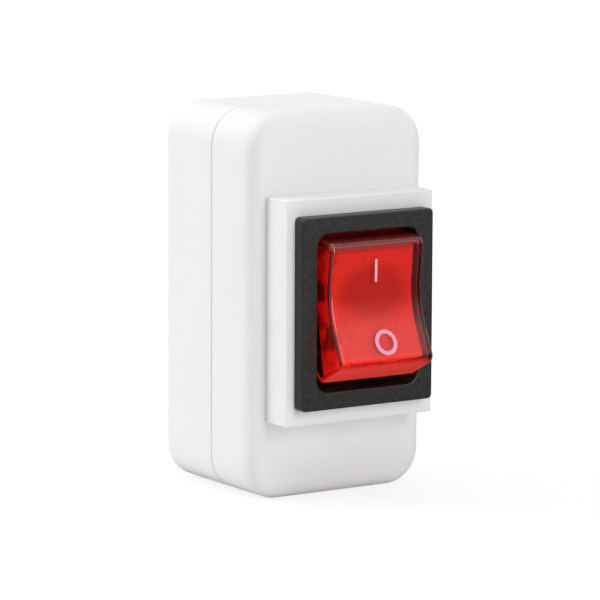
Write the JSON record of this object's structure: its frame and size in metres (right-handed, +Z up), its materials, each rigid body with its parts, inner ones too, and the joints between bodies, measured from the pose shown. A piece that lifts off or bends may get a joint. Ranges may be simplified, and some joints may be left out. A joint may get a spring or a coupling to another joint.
{
  "type": "illuminated rocker switch in a surface box",
  "caption": "White surface-mounted box with a raised plinth, black bezel and clear red illuminated rocker that makes and breaks both poles.",
  "frame": {"origin": "centre of the flat rear face that lies on the wall", "axes": "+Z up along the box, +Y into the wall, so the rocker faces -Y; +X to the right seen from the front"},
  "size_m": [0.0334, 0.0402, 0.0624],
  "materials": {
    "white_abs": "fine satin moulding",
    "black_nylon": "fine spark-eroded grain",
    "red_polycarbonate": "clear red, polished",
    "printing_ink": "pad-printed ink film",
    "white_nylon": "translucent moulding",
    "lamp_glass": "clear",
    "resistor_coat": "lacquer",
    "steel_wire": "drawn wire",
    "silver_contact": "bright",
    "copper_strip": "rolled strip",
    "brass_strip": "rolled strip"
  },
  "bodies": {
    "box": {"rear_cover": "white_abs", "front_cover": "white_abs", "switch_housing": "black_nylon", "common_terminal_left": "brass_strip", "common_terminal_right": "brass_strip", "line_terminal_left": "brass_strip", "line_terminal_right": "brass_strip", "fixed_contact_left": "silver_contact", "fixed_contact_right": "silver_contact"},
    "rocker_body": {"rocker": "red_polycarbonate", "mark_on": "printing_ink", "mark_off": "printing_ink", "light_carrier": "white_nylon", "neon_lamp": "lamp_glass", "lamp_resistor": "resistor_coat", "lamp_lead_left": "steel_wire", "lamp_lead_right": "steel_wire", "resistor_lead": "steel_wire", "plunger_spring_left": "steel_wire", "plunger_spring_right": "steel_wire"},
    "plunger_left_body": {"plunger_left": "brass_strip"},
    "bridge_left_body": {"contact_bridge_left": "copper_strip", "moving_contact_left": "silver_contact"},
    "plunger_right_body": {"plunger_right": "brass_strip"},
    "bridge_right_body": {"contact_bridge_right": "copper_strip", "moving_contact_right": "silver_contact"}
  },
  "joints": [
    {"name": "rocker_tilt", "type": "hinge", "parent": "box", "child": "rocker_body", "pos_m": [0, -0.0291, 0], "axis": [1, 0, 0], "range_deg": [0, 18.6]},
    {"name": "plunger_left_slide", "type": "slide", "parent": "rocker_body", "child": "plunger_left_body", "axis": [0, -0.9869, 0.1616], "range_m": [0, 0.0009], "stiffness_N_per_m": 1500, "springref_m": -0.0015, "deforming": ["plunger_spring_left"]},
    {"name": "bridge_left_rock", "type": "hinge", "parent": "box", "child": "bridge_left_body", "pos_m": [-0.00484, -0.018, 0], "axis": [1, 0, 0], "range_deg": [-15, 0]},
    {"name": "plunger_right_slide", "type": "slide", "parent": "rocker_body", "child": "plunger_right_body", "axis": [0, -0.9869, 0.1616], "range_m": [0, 0.0009], "stiffness_N_per_m": 1500, "springref_m": -0.0015, "deforming": ["plunger_spring_right"]},
    {"name": "bridge_right_rock", "type": "hinge", "parent": "box", "child": "bridge_right_body", "pos_m": [0.00484, -0.018, 0], "axis": [1, 0, 0], "range_deg": [-15, 0]}
  ],
  "couplings": [
    {"joint": "bridge_left_rock", "follows": "rocker_tilt", "ratio": -0.80645},
    {"joint": "bridge_right_rock", "follows": "rocker_tilt", "ratio": -0.80645}
  ]
}
